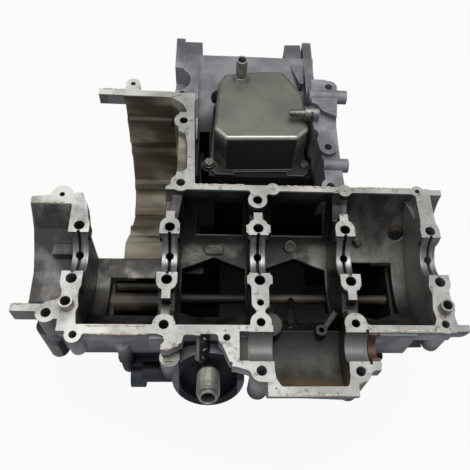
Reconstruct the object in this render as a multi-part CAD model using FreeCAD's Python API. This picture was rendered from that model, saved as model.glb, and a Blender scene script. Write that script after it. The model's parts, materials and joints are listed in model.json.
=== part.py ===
import FreeCAD, Part
import math
import os

V = FreeCAD.Vector
X_AXIS = V(1, 0, 0)
Z_AXIS = V(0, 0, 1)

# Lower crankcase half of an in-line four, as cast and machined, in millimetres.
# Origin: crank axis, middle main bearing, on the joint face. +X right, +Y to the gearbox, +Z up.

# Crank line
bearing_pitch = 80.0
bearing_count = 5
saddle_r = 19.2
groove_w = 2.7
groove_depth = 1.8
oil_hole_d = 7.0
oil_hole_y = 5.5
main_bolt_y = 26.2
main_bolt_d = 9.4
web_t = 14.0
end_web_t = 15.0
pad_w = 18.0
pad_end_y = 36.5

# Crank chamber
chamber_r = 67.5
wall_t = 6.0
rim_t = 5.5
front_rim_t = 6.5
front_face_y = -chamber_r - 1.5 - front_rim_t
rear_face_y = chamber_r + rim_t
rim_depth = 14.0
front_wall_depth = 46.0
blend_r = 3.0
bolt_hole_depth = 34.0

# Left end chamber
left_end_x = -206.0
chamber_wall_t = 6.5

# Right end flange
right_end_out = 18.0
right_end_x = (bearing_count - 1) / 2 * bearing_pitch + right_end_out
right_ring_r = 66.5

# Balancer at the front
balancer_y = -86.0
balancer_r = 12.5
balancer_left_x = -10.0
balancer_left_end = 9.0
balancer_right_x = 72.0
balancer_right_end = 98.0
trough_r = 35.0
end_ring_x = 90.5
end_ring_w = 6.5
end_ring_in_r = 10.0
end_ring_clear = 0.02

# Clutch bowl at the left rear
clutch_face_x = -134.0
clutch_strip_x = -77.0
clutch_rear_y = 182.0

# Gearbox housing at the rear
gear_left_x = -62.0
gear_right_x = 88.0
gear_rear_y = 276.0
deck_z = -30.0
seat_z = -70.0
right_top_z = -12.0

# Tapped holes beside the gearbox: x, y, z of the face
side_holes = [(73.8, 127.2, -6.0), (72.8, 80.3, -8.0), (80.8, 208.5, -5.0)]
side_hole_d = 8.0
side_boss_r = 9.0

# Stepped stop pin above the breather cover: x of each step and its radius
pin_y = 169.5
pin_z = -5.0
pin_steps = [(36.0, 3.0), (38.0, 3.9), (45.0, 4.8), (52.0, 7.6)]
pin_wall_x = 58.0
pin_boss_r = 5.5
pin_shank_r = 4.0
pin_shank_in = 9.0

# Breather cover, pressed from sheet
cover_h = 56.0
cover_sheet = 2.5
cover_corner_r = 6.0
cover_edge_r = 4.0
cover_foot = 3.0
cover_tab_r = 6.5
gasket_t = 1.0
gasket_out = 1.0
cover_screws = [(-46.5, 148.5), (58.5, 148.5), (-38.0, 230.0), (50.0, 226.0)]
cover_screw_r = 2.5
cover_screw_head_r = 4.8
cover_screw_head_h = 3.6
cover_screw_in = 12.0
screw_clear = 0.2
spigot_x = -13.5
spigot_y = 223.5
spigot_r = 6.0
spigot_bore_r = 4.4
spigot_h = 28.0
spigot_collar_r = 9.5
spigot_collar_h = 5.0

# Oil filter seat
filter_x = -43.0
filter_y = -100.0
filter_z = -45.0
filter_tilt = 28.5
filter_ring_r = 31.0
filter_ring_in_r = 24.5
filter_recess = 8.0
filter_body_len = 52.0
stud_r = 10.0
stud_shank_r = 9.2
stud_bore_r = 5.75
stud_out = 21.5
stud_in = 20.0
stud_relief = 1.5
stud_chamfer = 1.6
stud_clear = 0.05

# Locating sleeves in the front bolt holes
sleeve_left = (-160.0, -51.0)
sleeve_right = (159.0, -52.0)
sleeve_r = 5.8
sleeve_bore_r = 4.2
sleeve_out = 9.0
sleeve_in = 10.0
sleeve_clear = 0.05

# Main oil gallery under the crank
gallery_y = -6.0
gallery_z = -85.0
gallery_r = 4.8

# Oil pan below
pan_face_z = -140.0
pan_left_x = -122.0
pan_right_x = 126.0
pan_front_y = -38.0
pan_side_y = 20.0
pan_rear_y = 60.0
pan_back_left_x = -45.0
pan_back_right_x = 80.0
pan_back_y = 190.0
pan_gasket_t = 1.0
gasket_out = 1.0
pan_h = 28.0
pan_sheet = 3.5
pan_flange_t = 6.0
pan_flange_w = 13.0
pan_draft = 9.0
pan_bolt_r = 3.0
pan_bolt_head_r = 5.6
pan_bolt_head_h = 5.0
pan_bolt_grip = 14.0
pan_bolt_clear = 0.3
drain_x = 20.0
drain_y = 20.0
drain_r = 6.0
drain_head_r = 8.5
drain_head_h = 5.0
drain_well = 8.0
drain_washer_r = 9.0
drain_washer_t = 1.5
sump_wall_t = 7.0
sump_reach = 139.0

# Plugs and jets of the oil passages
passage_y = -84.0
passage_z = -74.0
passage_end_x = -113.0
passage_boss_x = -100.0
passage_boss_z = -82.0
passage_boss_r = 11.2
passage_plug_r = 7.0
passage_plug_t = 3.0
shelf_plug_x = 36.0
shelf_plug_angle = 55.0
shelf_plug_r = 6.0
shelf_plug_out = 3.0
jet_x = 104.0
jet_angle = 51.0
jet_r = 5.0
jet_out = 6.5
side_plug_x = -75.8
side_plug_y = front_face_y - 11.5
side_plug_z = -24.0
side_plug_r = 4.5
side_plug_across = 11.0
side_plug_flange_r = 7.4
side_plug_head_h = 5.0
side_plug_washer_r = 8.2
side_plug_washer_t = 1.5
side_plug_in = 12.0
plug_clear = 0.05

# Bolt holes of the joint face: x, y, hole diameter, boss radius, boss depth
joint_bolts = [
    (0.0, -47.2, 6.0, 7.5, 36.0),
    (0.0, front_face_y + 10.5, 7.5, 9.0, 36.0),
    (-80.3, front_face_y + 8.1, 8.3, 9.5, 36.0),
    (80.1, front_face_y + 10.0, 7.4, 9.5, 36.0),
    (157.7, front_face_y + 9.6, 7.0, 8.5, 44.0),
    (-152.5, front_face_y - 1.0, 6.4, 7.0, 30.0),
    (-176.5, -57.7, 8.2, 8.5, 44.0),
    (-72.3, rear_face_y + 2.0, 8.3, 9.5, 50.0),
    (0.0, 57.0, 9.0, 9.0, 40.0),
    (14.8, rear_face_y - 3.3, 3.5, 6.5, 30.0),
    (83.9, rear_face_y - 3.2, 4.5, 6.5, 30.0),
    (154.8, rear_face_y - 2.4, 4.5, 6.0, 30.0),
    (-28.5, front_face_y - 2.9, 6.0, 7.0, 30.0),
    (-0.5, -106.3, 8.3, 9.0, 53.0),
    (79.8, -106.8, 8.1, 9.0, 57.0),
    (-179.2, 58.7, 4.7, 9.5, 24.0),
    (-126.3, 198.6, 5.0, 7.0, 14.0),
    (-72.4, 151.1, 8.3, 9.5, 60.0),
]


def flat(points):
    corners = [V(x, y, 0) for x, y in points]
    return Part.Face(Part.makePolygon(corners + corners[:1]))


def disc(x, y, r):
    return Part.Face(Part.Wire(Part.makeCircle(r, V(x, y, 0))))


def wall(start, end, start_w, end_w=None):
    # A straight stretch of wall, seen from above, that may change in thickness.
    if end_w is None:
        end_w = start_w
    a = V(start[0], start[1], 0)
    b = V(end[0], end[1], 0)
    along = (b - a).normalize()
    side = V(-along.y, along.x, 0)
    corners = [a + side * (start_w / 2), a - side * (start_w / 2),
               b - side * (end_w / 2), b + side * (end_w / 2)]
    return Part.Face(Part.makePolygon(corners + corners[:1]))


def slab(points, low, high):
    face = flat(points)
    face.translate(V(0, 0, low))
    return face.extrude(V(0, 0, high - low))


def side_slab(points, left, right):
    # A profile of (y, z) points drawn out along X.
    corners = [V(left, y, z) for y, z in points]
    face = Part.Face(Part.makePolygon(corners + corners[:1]))
    return face.extrude(V(right - left, 0, 0))


def box(x0, x1, y0, y1, z0, z1):
    return Part.makeBox(x1 - x0, y1 - y0, z1 - z0, V(x0, y0, z0))


def post(x, y, r, low, high):
    return Part.makeCylinder(r, high - low, V(x, y, low), Z_AXIS)


def bar(x0, x1, y, z, r):
    return Part.makeCylinder(r, x1 - x0, V(x0, y, z), X_AXIS)


def join(solids):
    return solids[0].multiFuse(solids[1:])


def tapered(upper, upper_z, lower, lower_z):
    # A tub with flat sides between two plan outlines of the same corners.
    top = [V(x, y, upper_z) for x, y in upper]
    bottom = [V(x, y, lower_z) for x, y in lower]
    outlines = [top, bottom]
    for k in range(len(top)):
        outlines.append([top[k - 1], top[k], bottom[k], bottom[k - 1]])
    faces = [Part.Face(Part.makePolygon(corners + corners[:1])) for corners in outlines]
    solid = Part.makeSolid(Part.makeShell(faces))
    if solid.Volume < 0:
        solid.reverse()
    return solid


def web_x(index):
    return (index - (bearing_count - 1) / 2) * bearing_pitch


def web_faces(index):
    # Left and right face of a bearing web.
    x = web_x(index)
    if index == 0:
        return x - end_web_t / 2 + 1, x + end_web_t / 2
    if index == bearing_count - 1:
        return x - end_web_t / 2, x + end_web_t / 2 - 1
    return x - web_t / 2, x + web_t / 2


def around(angle, r):
    # A point of the crank chamber, by its angle down from the rear.
    a = math.radians(angle)
    return r * math.cos(a), -r * math.sin(a)


def top_faces(solid):
    return [f for f in solid.Faces if abs(f.CenterOfMass.z) < 1e-6 and abs(f.normalAt(0, 0).z) > 0.9]


def drawn_down(faces, depth):
    solids = [f.extrude(V(0, 0, -depth)) for f in faces]
    for s in solids:
        if s.Volume < 0:
            s.reverse()
    return solids


def blended(faces, radius, depth):
    # The plan outline with casting blends in its inner corners, drawn down to a depth.
    plan = top_faces(join(drawn_down(faces, depth)).removeSplitter())
    grown = [f.makeOffset2D(radius) for f in plan]
    whole = top_faces(join(drawn_down(grown, depth)).removeSplitter())
    return drawn_down([f.makeOffset2D(-radius) for f in whole], depth)


def rim_faces():
    rear_y = rear_face_y - rim_t / 2
    front_y = front_face_y + front_rim_t / 2
    first = web_x(0)
    last = web_x(bearing_count - 1)
    faces = [disc(x, y, boss_r) for x, y, hole_d, boss_r, depth in joint_bolts]
    faces.append(disc(sleeve_left[0], sleeve_left[1], sleeve_r + 3))
    faces.append(disc(sleeve_right[0], sleeve_right[1], sleeve_r + 3.5))
    # Rear rim and the wall beside the clutch bowl
    faces.append(wall((-72, rear_y), (155, rear_y), rim_t))
    faces.append(wall((-65, 162), (-62, 74), 6))
    faces.append(wall((-69, 176), (-65, 158), 7))
    faces.append(wall((-86, 185.5), (-68, 174), 7))
    faces.append(wall((-160, 186.5), (-84, 185.5), 7.5))
    faces.append(wall((-126.3, 186), (-126.3, 198), 14))
    # Front rim
    faces.append(wall((-150, front_y), (-8, front_y), front_rim_t))
    faces.append(wall((86, front_face_y + 6), (160, front_face_y + 6), 5))
    faces.append(wall((160, front_face_y + 6.5), (176, front_face_y + 6.5), 4.5))
    # Rear arm at the right end
    faces.append(wall((156, 69), (right_end_x, 69), 4.5))
    # End webs, which run up to the rims
    faces.append(flat([(last - 9, 19), (last + 8, 19), (last + 7, 35), (last + 3, 52), (last + 4, 70),
                       (last - 8, 70), (last - 6, 45), (last - 8, 34)]))
    faces.append(flat([(last - 9, -20), (last - 11, -31), (last - 9, -38), (last - 11, -52),
                       (last - 9, -62), (last - 12, -69), (last + 8, -69), (last + 7, -55),
                       (last + 5, -40), (last + 7, -30), (last + 6, -20)]))
    faces.append(flat([(first - 9, 19), (first + 8, 19), (first + 7, 35), (first + 4, 50),
                       (first - 1, 59), (first - 16, 61), (first - 16, 50), (first - 9, 49)]))
    faces.append(flat([(first - 9, -19), (first + 9, -19), (first + 9, -33), (first + 7, -38),
                       (first + 8, -47), (first + 7, -54), (first + 9, -70), (first - 1, -72),
                       (first - 5, -63), (first - 10, -63), (first - 18, -64), (first - 18, -48),
                       (first - 10, -46), (first - 5, -43), (first - 6, -39), (first - 9, -30)]))
    faces.append(wall((left_end_x, 53), (-175, 54.5), 6, 10))
    faces.append(wall((left_end_x, -52.5), (-178, -52.5), 5))
    # Balancer housing at the front
    lug = [(-82, 3.5), (-79, -6.5), (-82, -9.5), (-82, -13.5), (-76, -13.5), (-65, -7.5), (-63, 1.5)]
    faces.append(flat([(x, front_face_y + y) for x, y in lug]))
    faces.append(wall((-28.5, -78.4), (-22, -98), 12, 8))
    faces.append(flat([(-27, -72), (-18, -72), (-18, -99), (9, -99), (11, -112), (15, -119), (69, -119),
                       (71, -111), (72, -99), (95, -99), (96, -97), (98, -100), (97, -104), (90, -107),
                       (82, -115), (75, -120), (67, -126), (15, -124), (6, -116), (-2, -115),
                       (-11, -106), (-21, -103), (-25, -95)]))
    return faces


def pad_faces(index):
    # Machined pads each side of a saddle, round the main bolts.
    x = web_x(index)
    half = pad_w / 2
    round_y = pad_end_y - half
    faces = []
    for side in (1, -1):
        near = saddle_r - 1
        faces.append(flat([(x - half, side * near), (x + half, side * near), (x + half, side * round_y),
                           (x - half, side * round_y)]))
        faces.append(disc(x, side * round_y, half))
    if index == 2:
        # The middle bearing has shoulders and a longer front pad
        for side in (1, -1):
            faces.append(wall((x, side * 22), (x, side * 29.5), pad_w + 4))
        faces.append(wall((x, -30), (x, -47.2), 15))
    return faces


def nib_faces(index):
    # Narrow noses at the ends of the pads.
    x = web_x(index)
    if index in (0, bearing_count - 1):
        return []
    faces = [wall((x, 30), (x, 43), 8)]
    if index != 2:
        faces.append(wall((x, -30), (x, -44), 7.5))
    return faces


def filter_axis():
    a = math.radians(filter_tilt)
    return V(0, -math.cos(a), math.sin(a))


def filter_round(r, start, length):
    # A cylinder on the filter axis, from a distance out of the seat, measured outwards.
    axis = filter_axis()
    centre = V(filter_x, filter_y, filter_z)
    return Part.makeCylinder(r, length, centre + axis * start, axis)


def inset_box_plan(corners, inset):
    # Moves the sides of a plan with six square corners inwards.
    signs = [(1, 1), (-1, 1), (-1, -1), (1, -1), (1, -1), (1, -1)]
    return [(x + sx * inset, y + sy * inset) for (x, y), (sx, sy) in zip(corners, signs)]


def sump_body(inset, top):
    # Below the crank chamber, narrower towards the pan face.
    upper = [(-150, -70), (150, -70), (150, 66), (gear_left_x, 66), (gear_left_x, 26), (-150, 26)]
    lower = [(pan_left_x, pan_front_y), (pan_right_x, pan_front_y), (pan_right_x, pan_rear_y),
             (pan_back_left_x, pan_rear_y), (pan_back_left_x, pan_side_y), (pan_left_x, pan_side_y)]
    return tapered(inset_box_plan(upper, inset), top, inset_box_plan(lower, inset), pan_face_z)


def rear_sump(inset, top):
    # The same below the gearbox.
    upper = [(gear_left_x + inset, 40), (gear_right_x - inset, 40), (gear_right_x - inset, 200 - inset),
             (gear_left_x + inset, 200 - inset)]
    lower = [(pan_back_left_x + inset, 40), (pan_back_right_x - inset, 40),
             (pan_back_right_x - inset, pan_back_y - inset), (pan_back_left_x + inset, pan_back_y - inset)]
    return tapered(upper, top, lower, pan_face_z)


def pan_plan(grow):
    outline = [(pan_left_x, pan_front_y), (pan_right_x, pan_front_y), (pan_right_x, pan_rear_y),
               (pan_back_right_x, pan_rear_y), (pan_back_right_x, pan_back_y), (pan_back_left_x, pan_back_y),
               (pan_back_left_x, pan_side_y), (pan_left_x, pan_side_y)]
    signs = [(-1, -1), (1, -1), (1, 1), (1, 1), (1, 1), (-1, 1), (-1, 1), (-1, 1)]
    return [(x + sx * grow, y + sy * grow) for (x, y), (sx, sy) in zip(outline, signs)]


def crank_and_sump():
    first = web_faces(0)[0]
    last = web_faces(bearing_count - 1)[1]
    outer_r = chamber_r + wall_t
    shell = bar(first, last, 0, 0, outer_r).common(box(first - 1, last + 1, -90, 90, -90, 0))
    body = sump_body(0, -front_wall_depth)
    rear = rear_sump(0, -92)
    flange = slab(pan_plan(pan_flange_w), pan_face_z, pan_face_z + pan_flange_t + 2)
    front = box(-150, 132, front_face_y, -50, -front_wall_depth, -2)
    front_right = box(132, 166, front_face_y + 3.5, -50, -22, -2)
    return [shell, body, rear, flange, front, front_right]


def gearbox():
    house_profile = [(50, -60), (66, -8), (73, -10), (86, -34), (92, -86), (124, -90), (134, seat_z),
                     (194, seat_z + 4), (gear_rear_y, deck_z), (gear_rear_y, -104), (252, -126),
                     (196, -138), (50, -138)]
    solids = [side_slab(house_profile, gear_left_x, gear_right_x)]
    # Side wall at the right, higher behind the ridge
    edge = [(70, 70), (88, 70), (86, 120), (86, 160), (90, 204), (84, 216), (76, 219), (62, 219)]
    solids.append(slab([(61, 219), (61, 166), (68, 118)] + edge[:-1], -112, right_top_z))
    solids.append(slab([(61, 186), (67, 183), (71, 175), (86, 167)] + edge[4:], -60, right_top_z + 7))
    solids.append(bar(56, 99, 197.5, -9, 7.3))
    solids.append(bar(68, 93, 109, -13, 7))
    solids.append(bar(pin_wall_x, pin_wall_x + 9, pin_y, pin_z, pin_boss_r))
    solids.append(box(pin_wall_x + 3, pin_wall_x + 9, pin_y - pin_boss_r, pin_y + pin_boss_r, -40, pin_z))
    for x, y, z in side_holes:
        solids.append(post(x, y, side_boss_r, -50, z))
    left_profile = [(176, -60), (200, deck_z - 22), (212, deck_z - 4), (gear_rear_y, deck_z),
                    (gear_rear_y, -104), (176, -104)]
    solids.append(side_slab(left_profile, gear_left_x - 24, gear_left_x + 2))
    # Mounting lugs at the rear corners
    solids.append(slab([(-87, 238), (-77, 238), (-77, 302), (-87, 302)], -64, deck_z))
    solids.append(slab([(-77, 262), (-56, 276), (-57, 300), (-77, 300)], -62, deck_z - 3))
    solids.append(slab([(55, 240), (59, 240), (59, 302), (40, 301), (38, 287)], -62, deck_z - 3))
    solids.append(slab([(61, 215), (71, 215), (71, 303), (61, 303)], -64, deck_z))
    return solids


def clutch_bowl():
    outer = [(188, 0), (188, -24), (182, -92), (172, -130), (160, -149), (134, -157), (112, -150),
             (98, -133), (64, -120), (22, -80), (22, -56), (26, -50), (60, -60), (60, -10), (80, 0)]
    flange = [(193, -14), (193, -28), (189, -94), (178, -136), (164, -156), (134, -163), (106, -156),
              (94, -140), (60, -127), (20, -88), (20, -60), (30, -66), (70, -104), (100, -112),
              (122, -140), (146, -138), (160, -116), (170, -60), (172, -14)]
    return [side_slab(outer, clutch_face_x, gear_left_x), side_slab(flange, clutch_face_x, clutch_face_x + 9)]


def left_chamber_profile(grow):
    return [(49 + grow, 0), (42 + grow, -12 - grow / 2), (35 + grow / 2, -22 - grow), (16, -36 - grow),
            (1, -44 - grow), (-28 - grow / 2, -45 - grow), (-42 - grow, -38), (-50 - grow, -18),
            (-50 - grow, 0)]


def balancer_block():
    trough = bar(4, 77, balancer_y, 0, trough_r + wall_t).common(box(0, 80, -140, 0, -60, 0))
    left = side_slab([(-60, -52), (-60, 0), (-103, 0), (-103, -14), (-94, -22), (-84, -40)], -24, 6)
    right = side_slab([(-60, -52), (-60, 0), (-106, 0), (-106, -14), (-96, -22), (-84, -40)], 70, 97)
    return [trough, left, right]


def filter_body():
    back = filter_round(filter_ring_r, -24, 24)
    start = V(filter_x, filter_y, filter_z) - filter_axis() * filter_body_len
    cone = Part.makeCone(filter_ring_r - 9, filter_ring_r, filter_body_len - 23, start, filter_axis())
    return [back, cone]


def front_details():
    solids = []
    # Horizontal passage with its round end, left of the filter seat
    solids.append(bar(passage_boss_x - 2, -60, passage_y, passage_z, 9))
    solids.append(bar(passage_end_x, passage_boss_x, passage_y, passage_boss_z, passage_boss_r))
    solids.append(box(-112, -62, -80, -55, -84, -70))
    # Upright bosses under the front rim
    solids.append(post(-116, -74, 6.5, -86, -24))
    solids.append(box(-122, -66, front_face_y + 3.5, -50, -84, -30))
    solids.append(post(-185, -53, 9, -98, -40))
    solids.append(box(-188, -160, -56, -38, -94, -40))
    # Boss of the side plug
    solids.append(post(side_plug_x, side_plug_y, side_plug_washer_r + 0.5, -58, side_plug_z))
    # Pressure pipe rib from the rim down to the filter stud
    solids.append(Part.makeCylinder(5.0, 24, V(-48, front_face_y + 2.5, -6), V(-0.08, -0.72, -0.9)))
    solids.append(box(-92, -66, front_face_y - 3, front_face_y + 5.5, -30, -4))
    return solids


def outer_body():
    solids = crank_and_sump() + gearbox() + clutch_bowl() + balancer_block() + filter_body() + front_details()
    solids.append(side_slab(left_chamber_profile(chamber_wall_t), left_end_x, web_faces(0)[0] + 3))
    last = web_faces(bearing_count - 1)[1]
    ring = bar(last - 3, right_end_x, 0, 0, right_ring_r + wall_t).common(
        box(last - 4, right_end_x + 1, -90, 90, -90, 0))
    solids.append(ring)
    return join(solids)


def crank_bays():
    return [bar(web_faces(i)[1], web_faces(i + 1)[0], 0, 0, chamber_r) for i in range(bearing_count - 1)]


def floor_openings():
    cuts = []
    # Rear y at the middle and sides, front y at the middle and sides, for each bay
    shapes = [(7, 7, -36, -36), (28, 17, -43, -32), (28, 17, -43, -32), (25, 25, -40, -30)]
    for index, (rear_mid, rear_side, front_mid, front_side) in enumerate(shapes):
        left = max(web_faces(index)[1] + 2, -sump_reach)
        right = min(web_faces(index + 1)[0] - 2, sump_reach)
        middle = (left + right) / 2
        cuts.append(slab([(left, rear_side), (middle, rear_mid), (right, rear_side), (right, front_side),
                          (middle, front_mid), (left, front_side)], -76, -30))
    return cuts


def rear_windows():
    cuts = []
    for index in (1, 2):
        left = max(web_faces(index)[1] + 8, gear_left_x + 4)
        right = web_faces(index + 1)[0] - 5
        corners = [around(12, 55), around(12, 76), around(46, 80), around(46, 55)]
        cuts.append(side_slab(corners, left, right))
    return cuts


def first_bay_rear_gap():
    left = web_faces(0)[1]
    right = web_faces(1)[0] - 2
    behind = side_slab([(26, 1), (26, -62.5), (46, -100), (90, -100), (90, 1)], left, right)
    # Behind the first web only the rim of the end chamber carries on
    beside = box(web_x(0) - 1, left + 1, 26, 90, -100, 1)
    corner = box(web_faces(0)[0] - 1, left + 1, 61, 90, -100, 1)
    return [behind, beside, corner]


def bowl_inside():
    # Wall of the bowl from the rear rim down and forward to the crank chamber, with its ribs.
    profile = [(182, 1), (182, -8), (180, -30), (176.5, -31.5), (176, -51), (171.5, -63), (175, -67),
               (174.5, -75), (171, -78), (170.5, -84), (173, -89), (163, -122), (159, -123), (155, -130),
               (157, -134), (153, -139), (140, -145.5), (137, -143.5), (130, -147), (129, -150),
               (110, -138), (104, -129), (98, -122), (96, -125), (87, -123), (84, -117), (34, -73),
               (26, -62.5), (26, 1)]
    plan = slab([(-140, 20), (-140, clutch_rear_y + 1), (-88, clutch_rear_y + 1), (clutch_strip_x, 176),
                 (clutch_strip_x, 76), (-86, 70), (-86, 20)], -200, 5)
    pocket = slab([(-86, 181), (-74, 173), (-68.5, 162), (-79, 162), (-86, 170)], -42, 1)
    strip = slab([(clutch_strip_x - 4, 86), (clutch_strip_x - 4, 140), (-70, 134), (-67.5, 120), (-67, 92),
                  (-70, 88)], -7, 1)
    return [side_slab(profile, clutch_face_x - 1, clutch_strip_x + 8).common(plan), pocket, strip]


def web_tops():
    # Between pads and rims the inner webs are lower than the joint face.
    cuts = []
    for index in range(1, bearing_count - 1):
        left, right = web_faces(index)
        rear = [(34, 1), (34, -9), (46, -17), (60, -11), (67, -4), (67, 1)]
        front = [(-34, 1), (-34, -8), (-48, -15), (-60, -8), (-60, 1)]
        cuts.append(side_slab(rear, left - 1, right + 1))
        cuts.append(side_slab(front, left - 1, right + 1))
    return cuts


def inner_webs():
    solids = []
    for index in range(bearing_count):
        x = web_x(index)
        solids.append(box(x - 5, x + 5, -24, 14, -98, -66))
    first = web_faces(0)[0]
    last = web_faces(bearing_count - 1)[1]
    solids.append(bar(first + 4, last - 4, gallery_y, gallery_z, gallery_r))
    # Two larger passages in the first bay
    solids.append(bar(web_x(0), web_x(1), -11, gallery_z, 9.6))
    solids.append(bar(web_x(0), web_x(1), 6, gallery_z + 2, 5.2))
    return solids


def cavities():
    last = web_faces(bearing_count - 1)[1]
    cuts = crank_bays() + floor_openings() + rear_windows() + bowl_inside() + first_bay_rear_gap()
    cuts += web_tops()
    cuts.append(side_slab(left_chamber_profile(0), left_end_x - 1, web_faces(0)[0]))
    cuts.append(bar(last, right_end_x + 1, 0, 0, right_ring_r))
    # The right end flange runs out towards the bottom
    cuts.append(side_slab([(-80, -80), (-80, -34), (-58, -30), (0, -50), (58, -30), (80, -34), (80, -80)],
                          last, right_end_x + 5))
    cuts.append(bar(10, 71, balancer_y, 0, trough_r))
    # Sump below the crank chamber and the inside of the gearbox
    sump = join([sump_body(sump_wall_t, -front_wall_depth - 4), rear_sump(sump_wall_t, -100)])
    gear_inside = side_slab([(56, -20), (67, -21), (79, -38), (85, -94), (122, -98), (138, seat_z - 8),
                             (194, seat_z - 8), (gear_rear_y - 8, deck_z - 16), (gear_rear_y - 8, -100),
                             (248, -118), (190, -130), (56, -130)], gear_left_x + 22, gear_right_x - 8)
    kept = [bar(-170, 170, 0, 0, chamber_r + wall_t)] + inner_webs()
    cuts.append(sump.cut(kept))
    cuts.append(gear_inside.cut(kept[:1] + [box(64, gear_right_x, 212, gear_rear_y, pan_face_z, 0)]))
    # Pocket for the breather cover with its breather opening
    cuts.append(slab(cover_plan(cover_foot + 1.5), seat_z, 0))
    cuts += [post(x, y, cover_tab_r + 1.5, seat_z, 0) for x, y in cover_screws]
    cuts.append(box(-16, 34, 164, 204, seat_z - 9, seat_z + 1))
    # Deep recess between the breather seat and the clutch bowl
    recess = box(gear_left_x + 4, gear_left_x + 15, 84, 192, -104, 0)
    cuts.append(recess.cut(post(cover_screws[0][0], cover_screws[0][1], cover_tab_r + 2.5, -110, seat_z)))
    # Round recess and a small hole at the left rear
    cuts.append(post(-85, 239, 16, deck_z - 26, 1))
    cuts.append(post(-78, 220, 3.2, deck_z - 14, 1))
    # The right side ends at the last boss, with only the lug behind it
    cuts.append(box(72, gear_right_x + 1, 220, gear_rear_y + 30, pan_face_z, 1))
    return cuts


def bay_details():
    front_y = -chamber_r + 3
    details = []
    # Branch to the balancer in the third bay with the collar that it runs into
    details.append(Part.makeCylinder(3.6, 66, V(38, gallery_y, gallery_z), V(-0.12, -0.75, 0.66)))
    details.append(Part.makeCylinder(6.5, 8, V(31.7, -45, -51), V(-0.12, -0.75, 0.66)))
    # Boss beside the middle front bolt, and a small boss with its rib
    details.append(post(9, front_y + 4, 11, -48, -16))
    details.append(post(54, front_y, 5.2, -44, -18))
    rib = wall((55, front_y), (69, -45), 5)
    rib.translate(V(0, 0, -24))
    details += drawn_down([rib], 40)
    # Raised pad on the shelf of the second bay
    point, axis = shelf_frame(-40, 59)
    details += [Part.makeCylinder(4.5, 6, point + X_AXIS * shift - axis * 3.5, axis) for shift in (-5, 5)]
    along = X_AXIS * 5
    across = axis.cross(X_AXIS) * 4.5
    base = point - axis * 3.5
    corners = [base - along - across, base + along - across, base + along + across, base - along + across]
    details.append(Part.Face(Part.makePolygon(corners + corners[:1])).extrude(axis * 6))
    # Wedge in the rear corner of the last bay, and a block in the left end chamber
    details.append(slab([(145, 70), (154, 70), (154, 40)], -58, -12))
    details.append(box(-188, -166, 12, 23, -46, -29))
    return details


def columns():
    solids = [post(x, y, boss_r, -depth, -1) for x, y, hole_d, boss_r, depth in joint_bolts]
    for index in range(bearing_count):
        solids += drawn_down(nib_faces(index), 24)
    # Walls that join bosses and pads below the joint face
    for start, end, w, top, low in (((-74, 72), (-79, 34), 9, -7, -50), ((80, -60), (80, -50), 9, -7, -30),
                                    ((-80, -60), (-80, -50), 8, -4, -40)):
        low_wall = wall(start, end, w)
        low_wall.translate(V(0, 0, top))
        solids += drawn_down([low_wall], top - low)
    return solids


def machining():
    cuts = []
    for index in range(bearing_count):
        x = web_x(index)
        reach = pad_w / 2 + 3
        cuts.append(bar(x - reach, x + reach, 0, 0, saddle_r))
        cuts.append(bar(x - groove_w / 2, x + groove_w / 2, 0, 0, saddle_r + groove_depth))
        cuts.append(post(x, oil_hole_y, oil_hole_d / 2, gallery_z, 0))
        for y in (main_bolt_y, -main_bolt_y):
            cuts.append(post(x, y, main_bolt_d / 2, -60, 1))
    for x, y, hole_d, boss_r, depth in joint_bolts:
        cuts.append(post(x, y, hole_d / 2, -min(depth - 4, bolt_hole_depth), 1))
    for x, y in (sleeve_left, sleeve_right):
        cuts.append(post(x, y, sleeve_r + sleeve_clear, -sleeve_in, 1))
        cuts.append(post(x, y, sleeve_bore_r, -bolt_hole_depth, 1))
    # Small hole in the third bay, and a dimple in the rear wall of the last bay
    cuts.append(post(54, -chamber_r + 3, 2.2, -30, -17))
    point, axis = shelf_frame(143, 42)
    cuts.append(Part.makeCylinder(8, 12, point - axis * 3, axis))
    # Balancer bores, with the oil relief at the left and the ring groove at the right
    cuts.append(bar(balancer_left_x, balancer_left_end + 1, balancer_y, 0, balancer_r))
    cuts.append(box(balancer_left_x - 8, balancer_left_x, balancer_y - 12, balancer_y + 13, -12, 1))
    cuts.append(bar(balancer_right_x - 1, balancer_right_end + 2, balancer_y, 0, balancer_r))
    cuts.append(bar(end_ring_x - 2.5, end_ring_x, balancer_y, 0, balancer_r + 2.5))
    return cuts + passage_holes() + side_and_pan_holes()


def passage_holes():
    shelf_point, shelf_axis = shelf_frame(shelf_plug_x, shelf_plug_angle)
    jet_point, jet_axis = shelf_frame(jet_x, jet_angle)
    return [
        bar(passage_end_x - 1, passage_end_x + passage_plug_t, passage_y, passage_boss_z,
            passage_plug_r + plug_clear),
        Part.makeCylinder(shelf_plug_r + plug_clear, 4, shelf_point - shelf_axis * 3, shelf_axis),
        Part.makeCylinder(jet_r - 2 + plug_clear, 5, jet_point - jet_axis * 4, jet_axis),
        post(side_plug_x, side_plug_y, side_plug_r + plug_clear, side_plug_z - side_plug_in, side_plug_z + 1),
    ]


def side_and_pan_holes():
    cuts = [post(x, y, side_hole_d / 2, z - 22, z + 1) for x, y, z in side_holes]
    cuts.append(bar(pin_wall_x - 1, pin_wall_x + pin_shank_in, pin_y, pin_z, pin_shank_r + plug_clear))
    for x, y in cover_screws:
        cuts.append(post(x, y, cover_screw_r + screw_clear, seat_z - cover_screw_in, seat_z + 1))
    for x, y in pan_bolt_places():
        cuts.append(post(x, y, pan_bolt_r + pan_bolt_clear, pan_face_z - 1, pan_face_z + pan_flange_t))
    return cuts


def shelf_frame(x, angle):
    # Point on the crank chamber wall and the direction towards the crank.
    y, z = around(angle, chamber_r)
    return V(x, y, z), V(0, -y, -z).normalize()


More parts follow.
